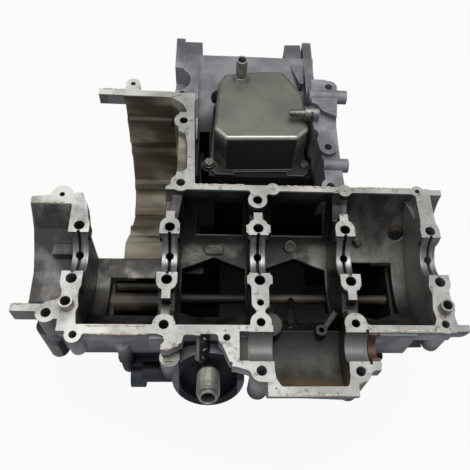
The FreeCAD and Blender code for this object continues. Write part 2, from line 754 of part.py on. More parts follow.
def make_casting():
    body = outer_body().cut(cavities())
    faces = rim_faces()
    for index in range(bearing_count):
        faces += pad_faces(index)
    body = join([body] + blended(faces, blend_r, rim_depth) + columns() + bay_details())
    body = body.cut(machining())
    # Filter seat with the thread hole for its stud
    body = body.cut([filter_round(filter_ring_in_r, -filter_recess, filter_recess + 5)])
    body = body.cut(filter_round(stud_shank_r + stud_clear, -stud_in, stud_in))
    return body.removeSplitter()


def edge_normal(start, end):
    dx = end[0] - start[0]
    dy = end[1] - start[1]
    length = math.hypot(dx, dy)
    return -dy / length, dx / length


def cover_plan(grow):
    # Outline of the cover's top, clockwise, each side moved outwards by the same distance.
    points = [(4, 237), (33, 238), (45, 219), (54, 203), (57, 155), (45, 143), (-29, 140),
              (-42, 153), (-40, 190), (-38, 218), (-31, 231)]
    out = []
    for k, (x, y) in enumerate(points):
        ax, ay = edge_normal(points[k - 1], points[k])
        bx, by = edge_normal(points[k], points[(k + 1) % len(points)])
        reach = grow / (1 + ax * bx + ay * by)
        out.append((x + (ax + bx) * reach, y + (ay + by) * reach))
    return out


def pointed_tab(x, side, low, high):
    # Its point is to the left (side -1) or to the right (side 1).
    root = x - side * 12
    neck = x + side * 7
    return slab([(x + side * 12, 139), (neck, 134), (root, 134), (root, 145), (neck, 145)], low, high)


def cover_flange(low, thick, spare):
    # Foot of the cover, with a tab at each screw and a pointed tab at each front corner.
    foot = join([slab(cover_plan(cover_foot), low, low + thick)]
                + [post(x, y, cover_tab_r, low, low + thick) for x, y in cover_screws]
                + [pointed_tab(x, side, low, low + thick) for x, side in ((-32, -1), (51, 1))])
    return foot.cut([post(x, y, cover_screw_r + spare, low - 1, low + thick + 1) for x, y in cover_screws])


def make_cover():
    low = seat_z + gasket_t
    top = low + cover_h
    plan = flat(cover_plan(0)).makeOffset2D(-cover_corner_r).makeOffset2D(cover_corner_r)
    plan.translate(V(0, 0, top))
    dome = drawn_down([plan], cover_h)[0]
    dome = dome.makeFillet(cover_edge_r, [e for e in dome.Edges if e.BoundBox.ZMin > top - 0.1])
    body = dome.fuse(cover_flange(low, cover_sheet, screw_clear))
    body = body.cut(slab(cover_plan(-cover_sheet), low - 1, top - cover_sheet))
    # Outlet under the hose spigot
    body = body.cut(post(spigot_x, spigot_y, spigot_bore_r, top - 10, top + 1))
    return body.removeSplitter()


def make_cover_gasket():
    # Inside the screws, so that it needs no holes
    plate = slab(cover_plan(gasket_out), seat_z, seat_z + gasket_t)
    return plate.cut(slab(cover_plan(-cover_sheet), seat_z - 1, seat_z + 2))


def make_cover_screws():
    low = seat_z + gasket_t + cover_sheet
    screws = []
    for x, y in cover_screws:
        head = post(x, y, cover_screw_head_r, low, low + cover_screw_head_h)
        slot = box(x - 0.8, x + 0.8, y - 6, y + 6, low + cover_screw_head_h - 1.2, low + 6)
        shank = post(x, y, cover_screw_r, seat_z - cover_screw_in + 1, low + 1)
        screws.append(head.cut(slot).fuse(shank))
    return Part.makeCompound(screws)


def make_spigot():
    top = seat_z + gasket_t + cover_h
    collar = Part.makeCone(spigot_collar_r, spigot_collar_r - 3, spigot_collar_h, V(spigot_x, spigot_y, top))
    tube = post(spigot_x, spigot_y, spigot_r, top, top + spigot_h)
    return join([collar, tube]).cut(post(spigot_x, spigot_y, spigot_bore_r, top - 1, top + spigot_h + 1))


def make_stop_pin():
    parts = []
    ends = [x for x, r in pin_steps[1:]] + [pin_wall_x]
    for (x, r), end in zip(pin_steps, ends):
        parts.append(bar(x, end, pin_y, pin_z, r))
    parts.append(bar(pin_wall_x - 1, pin_wall_x + pin_shank_in - 0.5, pin_y, pin_z, pin_shank_r))
    return join(parts)


def make_stud():
    # The end in the casting is thinner, with a short relief in front of the seat
    start = stud_relief - filter_recess
    rod = filter_round(stud_r, start, stud_out - start)
    rod = rod.makeChamfer(stud_chamfer, [e for e in rod.Edges if e.Closed])
    shank = filter_round(stud_shank_r, -stud_in, stud_in)
    return join([rod, shank]).cut(filter_round(stud_bore_r, -stud_in - 1, stud_in + stud_out + 2))


def make_sleeve(place):
    x, y = place
    tube = post(x, y, sleeve_r, -sleeve_in, sleeve_out)
    return tube.cut(post(x, y, sleeve_bore_r, -sleeve_in - 1, sleeve_out + 1))


def make_end_ring():
    ring = bar(end_ring_x, end_ring_x + end_ring_w, balancer_y, 0, balancer_r - end_ring_clear)
    ring = ring.cut(bar(end_ring_x - 1, end_ring_x + end_ring_w + 1, balancer_y, 0, end_ring_in_r))
    return ring.common(box(80, 110, balancer_y - 20, balancer_y + 20, -20, 0))


def make_passage_plug():
    start = passage_end_x
    cup = bar(start + 0.5, start + passage_plug_t, passage_y, passage_boss_z, passage_plug_r)
    return cup.cut(bar(start - 1, start + 1.5, passage_y, passage_boss_z, passage_plug_r - 1.5))


def make_shelf_plug():
    point, axis = shelf_frame(shelf_plug_x, shelf_plug_angle)
    ring = Part.makeCylinder(shelf_plug_r, shelf_plug_out + 3, point - axis * 3, axis)
    return ring.cut(Part.makeCylinder(shelf_plug_r - 2.6, 5, point + axis, axis))


def make_jet():
    point, axis = shelf_frame(jet_x, jet_angle)
    shank = Part.makeCylinder(jet_r - 2, 6, point - axis * 4, axis)
    seat = Part.makeCylinder(jet_r, 2, point + axis * 0.3, axis)
    nose = Part.makeCone(jet_r - 0.8, jet_r - 2.6, jet_out - 2, point + axis * 2, axis)
    return join([shank, seat, nose])


def hexagon(x, y, across, low, high):
    r = across / math.sqrt(3)
    angles = [math.radians(60 * k) for k in range(6)]
    corners = [(x + r * math.cos(a), y + r * math.sin(a)) for a in angles]
    return slab(corners, low, high)


def make_side_plug():
    seat = side_plug_z + side_plug_washer_t
    return join([post(side_plug_x, side_plug_y, side_plug_r, side_plug_z - side_plug_in + 1, seat + 1),
                 post(side_plug_x, side_plug_y, side_plug_flange_r, seat, seat + 2),
                 hexagon(side_plug_x, side_plug_y, side_plug_across, seat + 1, seat + side_plug_head_h)])


def make_side_plug_washer():
    top = side_plug_z + side_plug_washer_t
    ring = post(side_plug_x, side_plug_y, side_plug_washer_r, side_plug_z, top)
    return ring.cut(post(side_plug_x, side_plug_y, side_plug_r + plug_clear, side_plug_z - 1, top + 1))


def pan_bolt_places():
    left, front = pan_plan(pan_flange_w / 2)[0]
    right, rear = pan_plan(pan_flange_w / 2)[2]
    inner_right, back = pan_plan(pan_flange_w / 2)[4]
    inner_left, side = pan_plan(pan_flange_w / 2)[6]
    return [(left, front), (0, front), (right, front), (right, rear), (inner_right, 125),
            (inner_right, back), (inner_left, back), (inner_left, 105), (left, side)]


def make_pan():
    top = pan_face_z - pan_gasket_t
    bottom = top - pan_h
    body = tapered(pan_plan(0), top, pan_plan(-pan_draft), bottom)
    flange = slab(pan_plan(pan_flange_w), top - pan_flange_t, top)
    body = body.fuse(flange)
    body = body.cut([post(x, y, pan_bolt_r + pan_bolt_clear, top - 9, top + 1) for x, y in pan_bolt_places()])
    inside = tapered(pan_plan(-pan_sheet), top + 0.1, pan_plan(-pan_draft - pan_sheet), bottom + pan_sheet)
    body = body.cut(inside)
    # Well for the drain plug
    body = body.fuse(post(drain_x, drain_y, drain_washer_r + 4, bottom, bottom + drain_well + 4))
    well = post(drain_x, drain_y, drain_washer_r + 1, bottom - 1, bottom + drain_well)
    thread = post(drain_x, drain_y, drain_r + plug_clear, bottom, bottom + drain_well + 5)
    return body.cut([well, thread]).removeSplitter()


def make_pan_gasket():
    # Inside the bolts, so that it needs no holes
    low = pan_face_z - pan_gasket_t
    return slab(pan_plan(2), low, pan_face_z).cut(slab(pan_plan(-pan_sheet), low - 1, pan_face_z + 1))


def make_pan_bolts():
    low = pan_face_z - pan_gasket_t - pan_flange_t
    bolts = []
    for x, y in pan_bolt_places():
        head = hexagon(x, y, pan_bolt_head_r * math.sqrt(3), low - pan_bolt_head_h, low)
        bolts.append(head.fuse(post(x, y, pan_bolt_r, low - 1, low + pan_bolt_grip - 1.5)))
    return Part.makeCompound(bolts)


def drain_seat():
    return pan_face_z - pan_gasket_t - pan_h + drain_well


def make_drain_washer():
    seat = drain_seat()
    ring = post(drain_x, drain_y, drain_washer_r, seat - drain_washer_t, seat)
    return ring.cut(post(drain_x, drain_y, drain_r + plug_clear, seat - 5, seat + 5))


def make_drain_plug():
    low = drain_seat() - drain_washer_t
    head = hexagon(drain_x, drain_y, drain_head_r * math.sqrt(3), low - drain_head_h, low)
    return head.fuse(post(drain_x, drain_y, drain_r, low - 1, low + drain_washer_t + 4.5))


def main():
    os.makedirs("parts", exist_ok=True)
    shapes = {
        "crankcase_casting": make_casting(),
        "breather_cover": make_cover(),
        "breather_cover_gasket": make_cover_gasket(),
        "breather_cover_screws": make_cover_screws(),
        "breather_hose_spigot": make_spigot(),
        "stop_pin": make_stop_pin(),
        "oil_filter_stud": make_stud(),
        "dowel_sleeve_left": make_sleeve(sleeve_left),
        "dowel_sleeve_right": make_sleeve(sleeve_right),
        "balancer_end_ring": make_end_ring(),
        "oil_passage_plug": make_passage_plug(),
        "oil_shelf_plug": make_shelf_plug(),
        "oil_jet": make_jet(),
        "side_plug": make_side_plug(),
        "side_plug_washer": make_side_plug_washer(),
        "oil_pan": make_pan(),
        "oil_pan_gasket": make_pan_gasket(),
        "oil_pan_bolts": make_pan_bolts(),
        "oil_drain_plug": make_drain_plug(),
        "oil_drain_washer": make_drain_washer(),
    }
    for name, shape in shapes.items():
        print(name, len(shape.Solids), shape.isValid(), round(shape.Volume / 1000, 1))
        shape.exportStep("parts/" + name + ".step")


main()
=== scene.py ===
import bpy
import json
import math
import random
from mathutils import Matrix, Vector
from types import SimpleNamespace


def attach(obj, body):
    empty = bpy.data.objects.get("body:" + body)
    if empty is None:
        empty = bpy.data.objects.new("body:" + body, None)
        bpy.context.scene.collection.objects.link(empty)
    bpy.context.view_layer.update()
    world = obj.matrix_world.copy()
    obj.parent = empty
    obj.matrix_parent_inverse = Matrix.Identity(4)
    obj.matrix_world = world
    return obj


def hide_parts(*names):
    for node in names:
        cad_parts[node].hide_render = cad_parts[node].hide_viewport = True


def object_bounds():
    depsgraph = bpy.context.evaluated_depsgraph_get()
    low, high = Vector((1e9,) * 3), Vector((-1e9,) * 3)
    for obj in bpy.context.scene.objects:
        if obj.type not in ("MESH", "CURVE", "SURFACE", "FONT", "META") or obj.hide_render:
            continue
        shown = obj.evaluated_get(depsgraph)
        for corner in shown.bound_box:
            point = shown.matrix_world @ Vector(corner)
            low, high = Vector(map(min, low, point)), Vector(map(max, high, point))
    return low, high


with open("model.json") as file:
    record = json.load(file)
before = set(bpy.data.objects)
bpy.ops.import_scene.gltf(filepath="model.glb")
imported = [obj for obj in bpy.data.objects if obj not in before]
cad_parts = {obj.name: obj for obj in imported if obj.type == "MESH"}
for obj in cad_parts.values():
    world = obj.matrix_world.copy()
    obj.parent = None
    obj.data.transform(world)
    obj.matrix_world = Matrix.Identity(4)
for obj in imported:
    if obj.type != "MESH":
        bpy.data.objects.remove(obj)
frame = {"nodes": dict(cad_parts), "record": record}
cad_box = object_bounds()

# Sizes and places on the casting, in metres, in its own frame
CRANK_R = 0.0192
CHAMBER_R = 0.0675
BALANCER_Y = -0.086
BALANCER_R = 0.0125
GALLERY_Y = -0.006
GALLERY_Z = -0.085
GALLERY_R = 0.0048
BIG_PIPE_Y = -0.011
BIG_PIPE_R = 0.0098
SMALL_PIPE_Y = 0.006
SMALL_PIPE_Z = GALLERY_Z + 0.002
SMALL_PIPE_R = 0.0054
PIPE_SKIN = 0.0005
LAST_WEB_X = 0.153
BOWL_LEFT_X = -0.1345
BOWL_RIGHT_X = -0.0635
REAR_RIM_Y = 0.0735
FRONT_RIM_Y = -0.066

# The filter seat and the stud that stands in it
FILTER_TILT = math.radians(28.5)
FILTER_SEAT = Vector((-0.043, -0.100, -0.045))
FILTER_AXIS = Vector((0, -math.cos(FILTER_TILT), math.sin(FILTER_TILT)))
STUD_R = 0.010
STUD_BORE_R = 0.00575
STUD_OUT = 0.0215
STUD_IN = 0.020
STUD_STEPS = 56
SHANK_R = 0.0092
TIP_LENGTH = 0.0045
THREAD_START = -0.0065
THREAD_PITCH = 0.0015
THREAD_DEPTH = 0.0009
ROOT_SHARE = 0.35
CREST_SHARE = 0.85
# Its free end: (radius, how far below the very end)
STUD_END = [(STUD_R - 0.0016, TIP_LENGTH), (STUD_R - 0.0018, 0.0012), (STUD_R - 0.003, 0.0),
            (STUD_BORE_R + 0.0005, 0.0), (STUD_BORE_R, 0.0008)]

# The two screws in the rear rim: (radius, height) of their head, and where they are
SCREW_HEAD = [(0.0005, 0.0002), (0.0022, 0.0003), (0.0030, -0.0004), (0.0031, -0.0030), (0.0005, -0.0030)]
SCREW_STEPS = 24
MIDDLE_SCREW = (0.0148, 0.0697)
RIGHT_SCREW = (0.0839, 0.0698)

# Dried sealant on the joint face: the lines that it follows, and the sizes of its low strip
SEALANT_LINES = [
    [(-0.142, -0.0758), (-0.092, -0.0757)],
    [(-0.066, -0.0757), (-0.050, -0.0757)],
    [(-0.143, -0.0690), (-0.095, -0.0688)],
    [(-0.060, 0.0732), (-0.012, 0.0733)],
    [(0.024, 0.0733), (0.070, 0.0733)],
    [(0.092, 0.0734), (0.148, 0.0733)],
    [(0.018, -0.1250), (0.066, -0.1262)],
    [(-0.205, 0.0500), (-0.176, 0.0500)],
    [(-0.204, -0.0500), (-0.190, -0.0500)],
    [(-0.082, -0.0860), (-0.077, -0.0890), (-0.068, -0.0850)],
    [(0.104, -0.0719), (0.148, -0.0720)],
    [(-0.156, 0.1902), (-0.134, 0.1895)],
]
SEALANT_WIDTH = 0.0016
SEALANT_SPACING = 0.0016
SEALANT_LOW = 0.0003
SEALANT_HIGH = 0.0009
SEALANT_FOOT = Vector((0, 0, -0.0006))
SEALANT_SEED = 40

# The photograph's camera
CAMERA_PLACE = Vector((-0.041557, -0.253527, 0.466405))
CAMERA_RIGHT = Vector((0.99713, -0.02268, 0.07222))
CAMERA_UP = Vector((-0.01709, 0.86197, 0.50667))
CAMERA_BACK = Vector((-0.07374, -0.50645, 0.85911))
CAMERA_LENS = 45.957
CAMERA_SHIFT = (-0.0467, -0.0051)
CAMERA_NEAR = 0.01

# Strength of the light from the horizon and from straight above, and how high in the sky,
# from 0 to 1, it starts and ends to change from one to the other
HORIZON_LIGHT = 0.10
SKY_LIGHT = 0.60
HORIZON_HEIGHT = 0.15
SKY_HEIGHT = 0.85

# Half the floor's side, and how far it is plain white where it is seen
FLOOR_REACH = 6.0
FLOOR_WHITE = 0.93

# Sockets of the Mix node: its factor, its two values and its two colours
MIX_FACTOR = 0
MIX_VALUES = (2, 3)
MIX_COLOURS = (6, 7)
MIX_COLOUR_OUT = 2

# Rays that look for corners, and how far the rounded normal turns from the flat one at an edge
CORNER_SAMPLES = 4
EDGE_TURN = (0.995, 0.90)

# How directly a surface looks up or to the left, as a cosine: where a region starts and is full
LEVEL = (0.8, 0.95)
UPWARD = (0.5, 0.9)
LEDGE = (0.4, 0.8)
LEFTWARD = (-0.3, -0.7)

# Regions of the casting's surface, each by the measures that limit it, in metres. Two numbers are
# where the region starts and where it is full. Three are from where to where it is full, and the
# width of its soft ends. Four are where it starts, is full, is full until, and ends.
REGIONS = {
    "below": {"z": (-0.0005, -0.002)},
    "joint": {"z": (-0.0007, -0.0002), "nz": LEVEL},
    "saddle": {"crank": (CRANK_R + 0.0009, CRANK_R + 0.0004), "side": (0.171, 0.1705)},
    "groove": {"crank": (CRANK_R + 0.0006, CRANK_R + 0.0022, 0.0003), "side": (0.1635, 0.1630),
               "sideways": (0.5, 0.3)},
    "balancer": {"balancer": (BALANCER_R + 0.0007, BALANCER_R + 0.0003), "x": (-0.0105, 0.099, 0.0005)},
    "chamber": {"crank": (CHAMBER_R + 0.003, CHAMBER_R + 0.001), "side": (LAST_WEB_X + 0.001, LAST_WEB_X),
                "z": (-0.001, -0.004)},
    "trough": {"balancer": (0.0365, 0.0355), "x": (0.0095, 0.0715, 0.0005), "z": (-0.0005, -0.003)},
    "low_bosses": {"x": (-0.006, 0.0715, 0.001), "y": (-0.100, -0.076, -0.045, -0.044),
                   "z": (-0.006, -0.009)},
    "bowl_wall": {"x": (BOWL_LEFT_X, BOWL_RIGHT_X, 0.001)},
    "bowl_side": {"x": (-0.084, -0.060, 0.001), "nx": LEFTWARD},
    "bowl_ledge": {"x": (-0.084, BOWL_RIGHT_X, 0.001), "nz": UPWARD, "y": (0.074, 0.186, 0.003)},
    "bowl_length": {"y": (0.022, 0.186, 0.003)},
    "beyond": {"crank": (CHAMBER_R + 0.0004, CHAMBER_R + 0.0012)},
    "inner_sump": {"x": (-0.115, 0.118, 0.001), "y": (-0.030, 0.052, 0.001), "z": (-0.060, -0.064)},
    "sump_walls": {"z": (-0.056, -0.068)},
    "openings": {"x": (-0.151, 0.151, 0.001), "y": (-0.050, 0.056, 0.002), "z": (-0.040, -0.048)},
    "ledges": {"nz": LEDGE},
    "left": {"x": (-0.151, -0.1525)},
    "rust": {"y": (-0.012, -0.030), "z": (-0.004, -0.014)},
    "front": {"y": (FRONT_RIM_Y, FRONT_RIM_Y - 0.004), "z": (-0.002, -0.012)},
    "low_front": {"y": (FRONT_RIM_Y, FRONT_RIM_Y - 0.004), "z": (-0.020, -0.060)},
    "rear": {"y": (REAR_RIM_Y, REAR_RIM_Y + 0.003), "x": (-0.093, -0.090)},
    "rear_middle": {"side": (0.062, 0.035)},
    "hidden": {"x": (-0.0605, 0.0640, 0.002), "y": (0.030, 0.130, 0.006), "z": (-0.009, -0.018),
               "crank": (0.0685, 0.0695)},
    "cover_seat": {"x": (-0.0610, 0.0865, 0.0005), "y": (0.125, 0.200, 0.02), "z": (-0.050, -0.066)},
    "gallery": {"x": (-0.072, 0.152, 0.001), "gallery": (GALLERY_R + 2 * PIPE_SKIN, GALLERY_R + PIPE_SKIN)},
    "first_bay": {"x": (-0.152, -0.080, 0.001)},
    "big_pipe": {"big_pipe": (BIG_PIPE_R + PIPE_SKIN, BIG_PIPE_R)},
    "small_pipe": {"small_pipe": (SMALL_PIPE_R + PIPE_SKIN, SMALL_PIPE_R)},
    "pocket": {"x": (-0.0190, -0.0105, 0.0003), "y": (-0.100, -0.074, 0.001)},
    "dimple": {"x": (0.128, 0.156, 0.001), "y": (0.020, 0.070, 0.002), "z": (-0.02, -0.025),
               "crank": (CHAMBER_R + 0.0012, CHAMBER_R + 0.006, 0.0004)},
    "filter_rim": {"filter": (0.93, 0.97), "x": (-0.076, -0.010, 0.001), "y": (-0.070, -0.072),
                   "z": (-0.024, -0.028)},
    "filter_inside": {"x": (-0.0680, -0.0180, 0.0005), "y": (-0.123, -0.074, 0.002), "z": (-0.014, -0.020)},
    "drip": {"x": (-0.0500, -0.0430, 0.0022), "y": (-0.106, -0.0745, 0.001)},
    "bowl_low": {"z": (-0.020, -0.110)},
    "shelf": {"y": (0.0, 0.038, 0.006), "z": (-0.048, -0.056)},
    "clean_wall": {"x": (0.080, 0.086), "y": (-0.050, 0.030)},
    "end_web": {"x": (0.138, 0.146), "nx": (-0.4, -0.8)},
    "soot": {"x": (-0.074, 0.074, 0.004), "y": (0.034, 0.044), "z": (-0.006, -0.016)},
    "under_rim": {"x": (-0.070, -0.090), "y": (-0.050, -0.058)},
    "upper_edges": {"z": (-0.060, -0.045)},
    "trough_stain": {"y": (-0.098, -0.112)},
    "white_corner": {"x": (-0.080, -0.150)},
}

# The points that inner walls look towards, and how far in front of a wall they have to lie
CRANK_MIDDLE = (0.0, 0.0)
BOWL_MIDDLE = (0.1, -0.02)
SUMP_MIDDLE = (0.0, 0.04)
FILTER_MIDDLE = tuple(FILTER_SEAT + FILTER_AXIS * 0.01)
FACING_DEPTH = 0.002


def colour(red, green, blue):
    # A colour as seen on a screen, 0 to 255, turned into linear light.
    out = []
    for level in (red, green, blue):
        c = level / 255
        out.append(c / 12.92 if c <= 0.04045 else ((c + 0.055) / 1.055) ** 2.4)
    return (out[0], out[1], out[2], 1.0)


# The two tones that are mottled together on a surface
MOTTLES = {
    "cast": (colour(132, 134, 138), colour(98, 100, 105)),
    "rear": (colour(148, 149, 153), colour(100, 102, 107)),
    "front": (colour(166, 168, 173), colour(112, 114, 120)),
    "low_front": (colour(60, 64, 80), colour(30, 33, 45)),
    "left": (colour(124, 123, 121), colour(58, 58, 57)),
    "bowl": (colour(158, 152, 136), colour(72, 65, 50)),
    "wall": (colour(84, 82, 77), colour(28, 27, 25)),
    "shelf": (colour(128, 126, 119), colour(52, 50, 47)),
    "clean_wall": (colour(126, 124, 119), colour(66, 64, 60)),
    "trough": (colour(84, 83, 74), colour(46, 44, 36)),
    "pipes": (colour(96, 88, 70), colour(36, 32, 24)),
    "balancer": (colour(132, 130, 128), colour(74, 72, 68)),
    "saddle": (colour(160, 160, 160), colour(100, 100, 100)),
    "joint": (colour(182, 181, 177), colour(140, 140, 136)),
    "drip": (colour(12, 12, 12), colour(150, 148, 142)),
    "cover": (colour(120, 120, 112), colour(104, 104, 98)),
    "sealant": (colour(206, 200, 184), colour(168, 154, 126)),
}

# Single tones: stains, edges lighter from wear and painted highlights, other painted highlights, metals,
# and painted shade for the insides and hollows that stay dark
TONES = {
    "rear_stain": colour(80, 82, 88),
    "rear_middle": colour(84, 86, 86),
    "worn_cast": colour(186, 187, 190),
    "filter_rim": colour(104, 108, 120),
    "rust": colour(118, 86, 64),
    "bowl_low": colour(92, 82, 64),
    "bowl_edges": colour(182, 176, 158),
    "end_web": colour(158, 157, 152),
    "soot": colour(22, 21, 20),
    "under_rim": colour(150, 144, 128),
    "oil_spots": colour(96, 86, 68),
    "worn_chamber": colour(160, 159, 152),
    "trough_stain": colour(128, 100, 66),
    "low_bosses": colour(30, 29, 26),
    "pocket": colour(54, 52, 46),
    "dimple": colour(148, 126, 94),
    "cover_seat": colour(52, 52, 55),
    "hidden": colour(20, 20, 22),
    "sump": colour(15, 14, 13),
    "gallery": colour(14, 13, 11),
    "grime": colour(20, 18, 14),
    "filter_inside": colour(18, 20, 30),
    "groove": colour(18, 18, 18),
    "joint_stain": colour(138, 130, 110),
    "joint_pits": colour(92, 91, 87),
    "white_corner": colour(216, 215, 210),
    "worn_joint": colour(212, 211, 206),
    "cover_scratch": colour(70, 69, 64),
    "cover_front": colour(64, 64, 61),
    "cover_corner": colour(150, 149, 142),
    "cover_foot": colour(44, 44, 43),
    "cover_fold": colour(176, 175, 168),
    "gasket": colour(34, 33, 32),
    "zinc": colour(150, 148, 138),
    "turned_steel": colour(168, 165, 158),
    "bronze": colour(92, 66, 52),
    "soft_aluminium": colour(176, 176, 174),
    "pan": colour(36, 36, 38),
    "oily_steel": colour(92, 90, 83),
    "spigot": colour(160, 161, 158),
    "pin": colour(132, 130, 124),
    "floor": colour(190, 190, 190),
}


class Nodes:
    """Short calls for the nodes of one material."""

    def __init__(self, name):
        self.material = bpy.data.materials.new(name)
        self.material.use_nodes = True
        self.tree = self.material.node_tree
        self.shader = self.tree.nodes["Principled BSDF"]

    def new(self, kind, **settings):
        node = self.tree.nodes.new(kind)
        for key, value in settings.items():
            setattr(node, key, value)
        return node

    def link(self, source, target):
        if isinstance(source, (int, float, tuple)):
            target.default_value = source
        else:
            self.tree.links.new(source, target)

    def math(self, operation, first, second=0.0):
        node = self.new("ShaderNodeMath", operation=operation)
        self.link(first, node.inputs[0])
        self.link(second, node.inputs[1])
        return node.outputs[0]

    def times(self, *factors):
        out = factors[0]
        for factor in factors[1:]:
            out = self.math("MULTIPLY", out, factor)
        return out

    def largest(self, *values):
        out = values[0]
        for value in values[1:]:
            out = self.math("MAXIMUM", out, value)
        return out

    def step(self, value, low, high):
        # Rises from 0 at low to 1 at high, and falls where low is above high.
        node = self.new("ShaderNodeMapRange", interpolation_type="SMOOTHSTEP")
        self.link(value, node.inputs["Value"])
        falls = low > high
        node.inputs["From Min"].default_value = min(low, high)
        node.inputs["From Max"].default_value = max(low, high)
        node.inputs["To Min"].default_value = 1.0 if falls else 0.0
        node.inputs["To Max"].default_value = 0.0 if falls else 1.0
        return node.outputs["Result"]

    def between(self, value, low, high, edge):
        # 1 from low to high, with soft ends.
        return self.times(self.step(value, low - edge, low), self.step(value, high + edge, high))

    def noise(self, place, scale, detail, roughness):
        node = self.new("ShaderNodeTexNoise")
        self.link(place, node.inputs["Vector"])
        node.inputs["Scale"].default_value = scale
        node.inputs["Detail"].default_value = detail
        node.inputs["Roughness"].default_value = roughness
        return node.outputs["Fac"]

    def stretched(self, place, x, y, z):
        node = self.new("ShaderNodeVectorMath", operation="MULTIPLY")
        self.link(place, node.inputs[0])
        node.inputs[1].default_value = (x, y, z)
        return node.outputs[0]

    def mix(self, factor, first, second):
        node = self.new("ShaderNodeMix", data_type="RGBA")
        self.link(factor, node.inputs[MIX_FACTOR])
        for source, socket in zip((first, second), MIX_COLOURS):
            self.link(source, node.inputs[socket])
        return node.outputs[MIX_COLOUR_OUT]

    def mottle(self, name, factor):
        return self.mix(factor, *MOTTLES[name])

    def layers(self, base, *layers):
        # Each layer is how much of it shows and its tone, from the lowest up.
        for share, tone in layers:
            base = self.mix(share, base, tone)
        return base

    def blend_value(self, factor, first, second):
        node = self.new("ShaderNodeMix", data_type="FLOAT")
        self.link(factor, node.inputs[MIX_FACTOR])
        for source, socket in zip((first, second), MIX_VALUES):
            self.link(source, node.inputs[socket])
        return node.outputs[0]

    def place(self):
        return self.new("ShaderNodeTexCoord").outputs["Object"]

    def normal(self):
        return self.new("ShaderNodeNewGeometry").outputs["Normal"]

    def split(self, vector):
        node = self.new("ShaderNodeSeparateXYZ")
        self.link(vector, node.inputs[0])
        return node.outputs

    def match(self, first, second):
        # Cosine of the angle between two directions.
        node = self.new("ShaderNodeVectorMath", operation="DOT_PRODUCT")
        self.link(first, node.inputs[0])
        self.link(second, node.inputs[1])
        return node.outputs["Value"]

    def occlusion(self, distance):
        # Falls from 1 in the open towards 0 in a corner.
        node = self.new("ShaderNodeAmbientOcclusion", samples=CORNER_SAMPLES)
        node.inputs["Distance"].default_value = distance
        return node.outputs["AO"]

    def rounded(self, radius):
        # The normal of the surface as if its edges were rounded.
        node = self.new("ShaderNodeBevel", samples=CORNER_SAMPLES)
        self.link(radius, node.inputs["Radius"])
        return node.outputs[0]

    def edges(self, radius):
        # 1 along the edges and corners of the surface, 0 on its flats.
        return self.step(self.match(self.rounded(radius), self.normal()), *EDGE_TURN)

    def bump(self, height, distance, strength, edge=None):
        node = self.new("ShaderNodeBump")
        node.inputs["Strength"].default_value = strength
        node.inputs["Distance"].default_value = distance
        self.link(height, node.inputs["Height"])
        if edge is not None:
            self.link(self.rounded(edge), node.inputs["Normal"])
        self.link(node.outputs[0], self.shader.inputs["Normal"])


def distance_to_axis(n, a, b, centre_a, centre_b):
    da = n.math("SUBTRACT", a, centre_a)
    db = n.math("SUBTRACT", b, centre_b)
    return n.math("SQRT", n.math("ADD", n.times(da, da), n.times(db, db)))


def measures(n, place):
    # What limits the regions: the place, the way that the surface looks, and distances from axes.
    x, y, z = n.split(place)
    nx, ny, nz = n.split(n.normal())
    return {
        "x": x, "y": y, "z": z, "nx": nx, "ny": ny, "nz": nz,
        "side": n.math("ABSOLUTE", x),
        "sideways": n.math("ABSOLUTE", nx),
        "crank": distance_to_axis(n, y, z, 0.0, 0.0),
        "balancer": distance_to_axis(n, y, z, BALANCER_Y, 0.0),
        "gallery": distance_to_axis(n, y, z, GALLERY_Y, GALLERY_Z),
        "big_pipe": distance_to_axis(n, y, z, BIG_PIPE_Y, GALLERY_Z),
        "small_pipe": distance_to_axis(n, y, z, SMALL_PIPE_Y, SMALL_PIPE_Z),
        "filter": n.match(n.normal(), tuple(FILTER_AXIS)),
    }


def limited(n, value, limit):
    if len(limit) == 2:
        return n.step(value, *limit)
    if len(limit) == 3:
        return n.between(value, *limit)
    start, full, full_until, end = limit
    return n.times(n.step(value, start, full), n.step(value, end, full_until))


def region(n, at, name):
    return n.times(*[limited(n, at[measure], limit) for measure, limit in REGIONS[name].items()])


def facing(n, at, axes, middle):
    # 1 where the surface looks towards the middle, 0 where it looks away, along the axes named.
    total = 0.0
    for axis, centre in zip(axes, middle):
        ahead = n.math("SUBTRACT", centre, at[axis])
        total = n.math("ADD", total, n.times(ahead, at["n" + axis]))
    return n.step(total, 0.0, FACING_DEPTH)


def casting_masks(n, at):
    masks = {name: region(n, at, name) for name in REGIONS}
    below = masks["below"]
    beyond = masks["beyond"]
    bowl_wall = n.times(masks["bowl_wall"], facing(n, at, "yz", BOWL_MIDDLE))
    bowl_faces = n.largest(bowl_wall, masks["bowl_side"], masks["bowl_ledge"])
    masks["bowl"] = n.times(bowl_faces, masks["bowl_length"], below)
    # Faces inside the sump and in the bay openings, looking inwards, get painted shade: near black
    inward = facing(n, at, "xy", SUMP_MIDDLE)
    inner_sump = n.times(masks["inner_sump"], beyond)
    sump_walls = n.times(masks["sump_walls"], inward, beyond)
    opening_faces = n.times(masks["openings"], beyond, n.largest(inward, masks["ledges"]))
    dark_inside = n.largest(inner_sump, sump_walls, opening_faces)
    masks["sump"] = n.times(dark_inside, n.math("SUBTRACT", 1.0, masks["bowl"]))
    masks["left"] = n.times(masks["left"], facing(n, at, "yz", CRANK_MIDDLE), below)
    masks["rust"] = n.times(masks["rust"], masks["left"])
    masks["first_pipes"] = n.times(masks["first_bay"], n.largest(masks["big_pipe"], masks["small_pipe"]))
    masks["pocket"] = n.times(masks["pocket"], below)
    masks["drip"] = n.times(masks["drip"], below)
    masks["filter_inside"] = n.times(masks["filter_inside"], facing(n, at, "xyz", FILTER_MIDDLE))
    return masks


